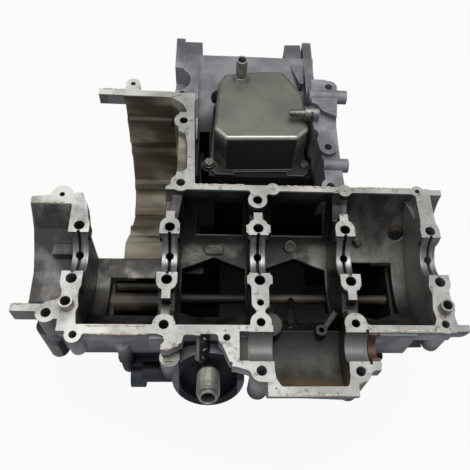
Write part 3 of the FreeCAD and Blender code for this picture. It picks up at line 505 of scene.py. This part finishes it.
def casting_grain(n, place):
    # The irregular patterns that the regions share.
    broad = n.noise(place, 22, 4.0, 0.6)
    return SimpleNamespace(
        broad=broad,
        cloud=n.noise(place, 9, 3.0, 0.55),
        fine=n.noise(place, 260, 4.0, 0.65),
        spots=n.step(n.noise(place, 75, 5.0, 0.7), 0.52, 0.66),
        pits=n.step(n.noise(place, 150, 5.0, 0.7), 0.54, 0.66),
        drops=n.step(n.noise(place, 260, 2.0, 0.5), 0.60, 0.66),
        rings=n.noise(n.stretched(place, 60.0, 1.0, 1.0), 40, 2.0, 0.5),
        smears=n.noise(n.stretched(place, 1.0, 0.6, 0.45), 45, 5.0, 0.62),
        streaks=n.noise(n.stretched(place, 0.45, 1.0, 1.0), 36, 2.5, 0.5),
        patches=n.step(broad, 0.35, 0.65),
        # Edges lighter: edge wear, together with painted highlights along them
        worn=n.times(n.edges(0.0012), n.step(broad, 0.30, 0.55)),
    )


def outside_tones(n, masks, grain):
    rear = n.layers(
        n.mottle("rear", grain.patches),
        (n.step(grain.cloud, 0.45, 0.60), TONES["rear_stain"]),
        (n.times(masks["rear_middle"], 0.5), TONES["rear_middle"]),
    )
    return n.layers(
        n.mottle("cast", grain.patches),
        (masks["rear"], rear),
        (masks["front"], n.mottle("front", grain.patches)),
        # Cast edges lighter: edge wear and painted highlights
        (n.times(grain.worn, 0.6), TONES["worn_cast"]),
        (masks["low_front"], n.mottle("low_front", grain.patches)),
        (masks["filter_rim"], TONES["filter_rim"]),
        (masks["left"], n.mottle("left", n.step(grain.smears, 0.34, 0.62))),
        (n.times(masks["rust"], n.step(grain.broad, 0.42, 0.58), 0.8), TONES["rust"]),
    )


def bowl_tones(n, masks, grain):
    low = n.times(n.step(grain.cloud, 0.44, 0.62), masks["bowl_low"], 0.8)
    # Painted highlights along the edges of the bowl's ribs
    ribs = n.times(n.edges(0.0030), n.step(grain.streaks, 0.66, 0.40), 0.6)
    return n.layers(
        n.mottle("bowl", n.step(grain.streaks, 0.34, 0.62)),
        (low, TONES["bowl_low"]),
        (ribs, TONES["bowl_edges"]),
    )


def chamber_tones(n, masks, grain):
    # The last bay's rear wall is lighter with a painted sheen, the shelf has a painted sheen, and the two
    # middle bays are painted black as shade behind the shelf.
    return n.layers(
        n.mottle("wall", n.step(grain.broad, 0.34, 0.60)),
        # The shelf lighter: painted sheen
        (masks["shelf"], n.mottle("shelf", n.step(grain.broad, 0.35, 0.58))),
        # The last bay's rear wall lighter: painted sheen
        (masks["clean_wall"], n.mottle("clean_wall", n.step(grain.smears, 0.32, 0.66))),
        (n.times(masks["end_web"], 0.6), TONES["end_web"]),
        # The middle bays darkened below the rear rim: painted shade
        (n.times(masks["soot"], 0.85), TONES["soot"]),
        (n.times(masks["under_rim"], 0.7), TONES["under_rim"]),
        (n.times(grain.spots, n.step(grain.fine, 0.45, 0.62), 0.35), TONES["oil_spots"]),
        # Upper edges of the chamber lighter: edge wear and painted highlights
        (n.times(grain.worn, masks["upper_edges"], 0.6), TONES["worn_chamber"]),
    )


def trough_tones(n, masks, grain):
    stained = n.times(masks["trough_stain"], n.step(grain.cloud, 0.35, 0.60))
    return n.layers(
        n.mottle("trough", n.step(grain.smears, 0.30, 0.62)),
        (stained, TONES["trough_stain"]),
    )


def joint_tones(n, masks, grain):
    # The milled face has stains and pits, and is whiter towards its left end.
    whiter = n.times(masks["white_corner"], n.step(grain.broad, 0.65, 0.40), 0.8)
    return n.layers(
        n.mottle("joint", n.step(grain.broad, 0.3, 0.65)),
        (n.times(grain.spots, n.step(grain.fine, 0.42, 0.58), 0.8), TONES["joint_stain"]),
        (grain.pits, TONES["joint_pits"]),
        (whiter, TONES["white_corner"]),
        # Edges of the milled face lighter: edge wear and painted highlights
        (n.times(grain.worn, 0.5), TONES["worn_joint"]),
    )


def casting_tones(n, masks, grain):
    pipes = n.mottle("pipes", n.step(grain.cloud, 0.42, 0.58))
    # Painted shade, with grime, darkening the corners found by occlusion
    grimy = n.largest(masks["left"], masks["chamber"], masks["bowl"])
    grime = n.times(n.step(n.occlusion(0.012), 0.80, 0.35), grimy, 0.7)
    return n.layers(
        outside_tones(n, masks, grain),
        (masks["bowl"], bowl_tones(n, masks, grain)),
        (masks["chamber"], chamber_tones(n, masks, grain)),
        (n.largest(masks["trough"], masks["low_bosses"]), trough_tones(n, masks, grain)),
        (n.times(masks["low_bosses"], 0.85), TONES["low_bosses"]),
        # The small pocket by the balancer darkened: painted shade
        (masks["pocket"], TONES["pocket"]),
        (masks["dimple"], TONES["dimple"]),
        # The deck round the cover's foot darkened: painted shade
        (masks["cover_seat"], TONES["cover_seat"]),
        # Faces behind the rear rim, seen through the windows, painted near black as shade
        (masks["hidden"], TONES["hidden"]),
        # Insides of the sump painted near black as shade
        (masks["sump"], TONES["sump"]),
        (masks["first_pipes"], pipes),
        # The gallery pipe mixed towards near black: painted shade inside the sump
        (masks["gallery"], n.mix(0.4, pipes, TONES["gallery"])),
        # Corners darkened: painted shade and grime
        (grime, TONES["grime"]),
        # The inside of the filter seat painted blue-black as shade
        (masks["filter_inside"], TONES["filter_inside"]),
        (masks["balancer"], n.mottle("balancer", grain.rings)),
        (masks["saddle"], n.mottle("saddle", n.step(grain.rings, 0.3, 0.7))),
        (masks["groove"], TONES["groove"]),
        (masks["joint"], joint_tones(n, masks, grain)),
        (masks["drip"], n.mottle("drip", grain.drops)),
    )


def casting_material():
    n = Nodes("die_cast_aluminium")
    place = n.place()
    masks = casting_masks(n, measures(n, place))
    grain = casting_grain(n, place)
    n.link(casting_tones(n, masks, grain), n.shader.inputs["Base Color"])

    machined = n.largest(masks["joint"], masks["saddle"], masks["balancer"])
    metallic = n.blend_value(masks["chamber"], 0.25, 0.6)
    metallic = n.blend_value(masks["joint"], metallic, 0.15)
    metallic = n.blend_value(masks["saddle"], metallic, 0.85)
    n.link(metallic, n.shader.inputs["Metallic"])
    rough = n.blend_value(machined, n.blend_value(grain.fine, 0.42, 0.66), 0.42)
    rough = n.blend_value(masks["chamber"], rough, n.blend_value(grain.broad, 0.22, 0.50))
    n.link(rough, n.shader.inputs["Roughness"])

    # The cast skin is grainy, and its corners are rounded, most of all in the bowl
    skin = n.math("ADD", n.noise(place, 1100, 2.0, 0.5), n.times(grain.fine, 1.5))
    height = n.times(skin, n.blend_value(machined, 1.0, 0.18))
    rounding = n.blend_value(masks["bowl"], n.blend_value(masks["chamber"], 0.0013, 0.0024), 0.0040)
    n.bump(height, 0.00035, 0.55, edge=n.blend_value(machined, rounding, 0.0009))
    return n.material


def plain_metal(name, tone, metallic, rough, edge=0.0005, wear=0.25):
    # One tone, darker in patches by the share of wear, with painted highlights along its edges.
    n = Nodes(name)
    place = n.place()
    broad = n.noise(place, 60, 4.0, 0.6)
    darker = tuple(c * (1 - wear) for c in tone[:3]) + (1.0,)
    lighter = tuple(min(1.0, c * 2.0) for c in tone[:3]) + (1.0,)
    base = n.mix(n.step(broad, 0.35, 0.7), tone, darker)
    # Edges lighter: painted highlight
    n.link(n.mix(n.times(n.edges(edge), 0.7), base, lighter), n.shader.inputs["Base Color"])
    n.shader.inputs["Metallic"].default_value = metallic
    n.link(n.blend_value(broad, rough - 0.08, rough + 0.1), n.shader.inputs["Roughness"])
    n.bump(n.noise(place, 700, 2.0, 0.5), 0.00012, 0.5, edge=edge)
    return n.material


def cover_material():
    # Satin sheet with light scratches and stains, with painted highlights where the front corners are
    # folded, on the corner faces and along the foot's edges, and painted shade on its front face.
    n = Nodes("cover_sheet")
    place = n.place()
    x, y, z = n.split(place)
    nx, ny, nz = n.split(n.normal())
    broad = n.noise(place, 30, 4.0, 0.6)
    fine = n.noise(place, 500, 3.0, 0.6)
    scratch = n.step(n.noise(n.stretched(place, 0.3, 4.0, 1.0), 180, 2.0, 0.4), 0.68, 0.74)
    # The front face, painted darker as shade
    front = n.times(n.step(ny, -0.5, -0.8), n.step(nz, 0.4, 0.1))
    # Corner faces and folds lighter: painted highlights
    corner = n.times(n.between(n.math("ABSOLUTE", nx), 0.35, 0.90, 0.05), n.step(ny, -0.2, -0.4))
    folded = n.times(n.between(nz, 0.25, 0.93, 0.06), n.step(y, 0.162, 0.152))
    foot = n.step(z, -0.062, -0.065)
    tone = n.layers(
        n.mottle("cover", n.step(broad, 0.3, 0.7)),
        (n.times(scratch, 0.35), TONES["cover_scratch"]),
        (front, TONES["cover_front"]),
        (n.times(corner, n.step(broad, 0.35, 0.60)), TONES["cover_corner"]),
        (n.times(foot, 0.7), TONES["cover_foot"]),
        # Folds and the foot's edges lighter: painted highlights
        (n.largest(folded, n.times(foot, n.edges(0.0012))), TONES["cover_fold"]),
    )
    n.link(tone, n.shader.inputs["Base Color"])
    n.link(n.blend_value(front, 0.6, 0.2), n.shader.inputs["Metallic"])
    rough = n.blend_value(folded, n.blend_value(fine, 0.34, 0.48), 0.22)
    n.link(rough, n.shader.inputs["Roughness"])
    n.bump(fine, 0.00012, 0.35, edge=0.0012)
    return n.material


def sealant_material():
    n = Nodes("dried_sealant")
    place = n.place()
    tone = n.mottle("sealant", n.step(n.noise(place, 300, 3.0, 0.6), 0.4, 0.6))
    n.link(tone, n.shader.inputs["Base Color"])
    n.shader.inputs["Roughness"].default_value = 0.6
    n.bump(n.noise(place, 900, 2.0, 0.5), 0.0003, 0.6)
    return n.material


def slot_materials():
    return {
        "cast_aluminium": casting_material(),
        "cover_sheet": cover_material(),
        "gasket": plain_metal("gasket_black", TONES["gasket"], metallic=0.0, rough=0.6),
        "zinc_steel": plain_metal("zinc_plated_steel", TONES["zinc"], metallic=0.85, rough=0.34, wear=0.4),
        "bare_steel": plain_metal("turned_steel", TONES["turned_steel"], metallic=0.8, rough=0.4, wear=0.5),
        "bronze": plain_metal("brown_bronze", TONES["bronze"], metallic=0.4, rough=0.5, wear=0.6),
        "soft_aluminium": plain_metal("soft_aluminium", TONES["soft_aluminium"], metallic=0.7, rough=0.4),
        # The pan painted dark as the shade inside the sump
        "pan_aluminium": plain_metal("oily_pan", TONES["pan"], metallic=0.25, rough=0.55, edge=0.001,
                                     wear=0.5),
    }


def node_materials():
    # Pieces that look different from the others of their slot.
    oily = plain_metal("oily_steel", TONES["oily_steel"], metallic=0.6, rough=0.34, wear=0.5)
    spigot = plain_metal("spigot_steel", TONES["spigot"], metallic=0.5, rough=0.30, wear=0.45)
    pin = plain_metal("pin_steel", TONES["pin"], metallic=0.75, rough=0.34, wear=0.5)
    return {"breather_hose_spigot": spigot, "stop_pin": pin, "oil_shelf_plug": oily, "oil_jet": oily}


def dress_cad_nodes():
    materials = slot_materials()
    own = node_materials()
    slots = {part["node"]: part["material_slot"] for part in frame["record"]["subparts"]}
    for name, node in frame["nodes"].items():
        node.data.materials.clear()
        node.data.materials.append(own.get(name, materials[slots[name]]))
    return materials


def add_piece(name, corners, faces, material, smooth=False):
    mesh = bpy.data.meshes.new(name)
    mesh.from_pydata([tuple(c) for c in corners], [], faces)
    mesh.materials.append(material)
    for polygon in mesh.polygons:
        polygon.use_smooth = smooth
    piece = bpy.data.objects.new(name, mesh)
    bpy.context.scene.collection.objects.link(piece)
    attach(piece, "root")
    return piece


def turned(name, profile, place, axis, material, steps):
    # A lathe shape: a closed profile of (radius, height) points round an axis.
    turn = Vector((0, 0, 1)).rotation_difference(axis).to_matrix()
    corners = []
    for k in range(steps):
        a = 2 * math.pi * k / steps
        for radius, height in profile:
            corners.append(place + turn @ Vector((radius * math.cos(a), radius * math.sin(a), height)))
    count = len(profile)
    faces = []
    for k in range(steps):
        for j in range(count):
            first = k * count
            second = (k + 1) % steps * count
            faces.append((first + j, second + j, second + (j + 1) % count, first + (j + 1) % count))
    return add_piece(name, corners, faces, material)


def threaded_stud(material):
    # Thread ridges from the plain shank to just below the tip, and the through bore.
    outline = [(STUD_BORE_R, -STUD_IN), (SHANK_R, -STUD_IN), (SHANK_R, THREAD_START)]
    turns = int((STUD_OUT - TIP_LENGTH - THREAD_START) / THREAD_PITCH)
    for k in range(turns):
        low = THREAD_START + k * THREAD_PITCH
        outline.append((STUD_R - THREAD_DEPTH, low + THREAD_PITCH * ROOT_SHARE))
        outline.append((STUD_R, low + THREAD_PITCH * CREST_SHARE))
    outline += [(radius, STUD_OUT - below_end) for radius, below_end in STUD_END]
    stud = turned("threaded_filter_stud", outline, FILTER_SEAT, FILTER_AXIS, material,
                  STUD_STEPS)
    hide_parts("oil_filter_stud")


def rim_screw(name, spot, material):
    # Round head with a small hole in its middle, sunk into the rim.
    turned(name, SCREW_HEAD, Vector((*spot, 0)), Vector((0, 0, 1)), material, SCREW_STEPS)


def points_along(line):
    # Evenly spaced points on a line of straight runs.
    spots = []
    for start, end in zip(line, line[1:]):
        a = Vector((*start, 0))
        b = Vector((*end, 0))
        count = max(2, int((b - a).length / SEALANT_SPACING))
        spots += [a.lerp(b, k / count) for k in range(count)]
    spots.append(Vector((*line[-1], 0)))
    return spots


def ragged_bead(name, line, material, seed):
    # Dried sealant squeezed out along an edge: a low strip of uneven width.
    rng = random.Random(seed)
    spots = points_along(line)
    last = len(spots) - 1
    corners = []
    for k, spot in enumerate(spots):
        ahead = (spots[min(k + 1, last)] - spots[max(k - 1, 0)]).normalized()
        across = Vector((-ahead.y, ahead.x, 0))
        half = across * (SEALANT_WIDTH * rng.uniform(0.25, 0.75))
        middle = spot + across * (SEALANT_WIDTH * rng.uniform(-0.25, 0.25))
        top = Vector((0, 0, rng.uniform(SEALANT_LOW, SEALANT_HIGH)))
        corners += [middle - half + SEALANT_FOOT, middle - half * 0.6 + top,
                    middle + half * 0.6 + top * 0.8, middle + half + SEALANT_FOOT]
    faces = []
    for k in range(last):
        for j in range(4):
            faces.append((4 * k + j, 4 * k + (j + 1) % 4, 4 * k + 4 + (j + 1) % 4, 4 * k + 4 + j))
    faces += [(0, 3, 2, 1), tuple(4 * last + j for j in range(4))]
    return add_piece(name, corners, faces, material, smooth=True)


def add_sealant():
    material = sealant_material()
    for k, line in enumerate(SEALANT_LINES):
        ragged_bead(f"sealant_bead_{k + 1}", line, material, SEALANT_SEED + k)


def floor_material():
    # White where it is seen, with a little left of the shadow on it.
    n = Nodes("pale_floor")
    n.shader.inputs["Base Color"].default_value = TONES["floor"]
    n.shader.inputs["Roughness"].default_value = 0.9
    rays = n.new("ShaderNodeLightPath")
    seen = n.largest(rays.outputs["Is Camera Ray"], rays.outputs["Is Transmission Ray"])
    glow = n.new("ShaderNodeEmission")
    glow.inputs["Strength"].default_value = 1.0
    blend = n.new("ShaderNodeMixShader")
    n.link(n.times(seen, FLOOR_WHITE), blend.inputs["Fac"])
    n.link(n.shader.outputs[0], blend.inputs[1])
    n.link(glow.outputs[0], blend.inputs[2])
    n.link(blend.outputs[0], n.tree.nodes["Material Output"].inputs["Surface"])
    return n.material


def add_floor():
    low = cad_box[0].z
    ends = [(-FLOOR_REACH, -FLOOR_REACH), (FLOOR_REACH, -FLOOR_REACH),
            (FLOOR_REACH, FLOOR_REACH), (-FLOOR_REACH, FLOOR_REACH)]
    mesh = bpy.data.meshes.new("floor")
    mesh.from_pydata([(x, y, low) for x, y in ends], [], [(0, 1, 2, 3)])
    mesh.materials.append(floor_material())
    floor = bpy.data.objects.new("floor", mesh)
    bpy.context.scene.collection.objects.link(floor)


def add_world():
    # White where it is seen, and for the light itself bright above and dim towards the horizon.
    world = bpy.data.worlds.new("studio")
    world.use_nodes = True
    bpy.context.scene.world = world
    nodes = world.node_tree.nodes
    links = world.node_tree.links
    rays = nodes.new("ShaderNodeLightPath")
    seen = nodes.new("ShaderNodeMath")
    seen.operation = "MAXIMUM"
    links.new(rays.outputs["Is Camera Ray"], seen.inputs[0])
    links.new(rays.outputs["Is Transmission Ray"], seen.inputs[1])
    direction = nodes.new("ShaderNodeSeparateXYZ")
    links.new(nodes.new("ShaderNodeTexCoord").outputs["Generated"], direction.inputs[0])
    height = nodes.new("ShaderNodeMapRange")
    height.interpolation_type = "SMOOTHSTEP"
    height.inputs["From Min"].default_value = HORIZON_HEIGHT
    height.inputs["From Max"].default_value = SKY_HEIGHT
    height.inputs["To Min"].default_value = HORIZON_LIGHT
    height.inputs["To Max"].default_value = SKY_LIGHT
    links.new(direction.outputs["Z"], height.inputs["Value"])
    level = nodes.new("ShaderNodeMix")
    links.new(seen.outputs[0], level.inputs[MIX_FACTOR])
    links.new(height.outputs["Result"], level.inputs[MIX_VALUES[0]])
    level.inputs[MIX_VALUES[1]].default_value = 1.0
    nodes["Background"].inputs["Color"].default_value = (1, 1, 1, 1)
    links.new(level.outputs[0], nodes["Background"].inputs["Strength"])


def add_lamp(name, place, aim, size, power):
    data = bpy.data.lights.new(name, "AREA")
    data.size = size
    data.energy = power
    lamp = bpy.data.objects.new(name, data)
    lamp.location = place
    lamp.rotation_mode = "QUATERNION"
    lamp.rotation_quaternion = (Vector(aim) - Vector(place)).to_track_quat("-Z", "Y")
    bpy.context.scene.collection.objects.link(lamp)


def add_camera():
    data = bpy.data.cameras.new("camera")
    data.lens = CAMERA_LENS
    data.shift_x, data.shift_y = CAMERA_SHIFT
    data.clip_start = CAMERA_NEAR
    camera = bpy.data.objects.new("camera", data)
    turn = Matrix((CAMERA_RIGHT, CAMERA_UP, CAMERA_BACK)).transposed().to_4x4()
    camera.matrix_world = Matrix.Translation(CAMERA_PLACE) @ turn
    bpy.context.scene.collection.objects.link(camera)
    bpy.context.scene.camera = camera


materials = dress_cad_nodes()
threaded_stud(materials["bare_steel"])
rim_screw("rim_screw_middle", MIDDLE_SCREW, materials["zinc_steel"])
rim_screw("rim_screw_right", RIGHT_SCREW, materials["zinc_steel"])
add_sealant()
add_floor()
add_world()
add_lamp("overhead", place=(0.0, 0.25, 1.3), aim=(0, 0.05, 0), size=1.0, power=13)
add_lamp("left_fill", place=(-1.1, -0.5, 0.8), aim=(0, 0, 0), size=0.8, power=2)
add_camera()
bpy.context.scene.view_settings.view_transform = "Standard"
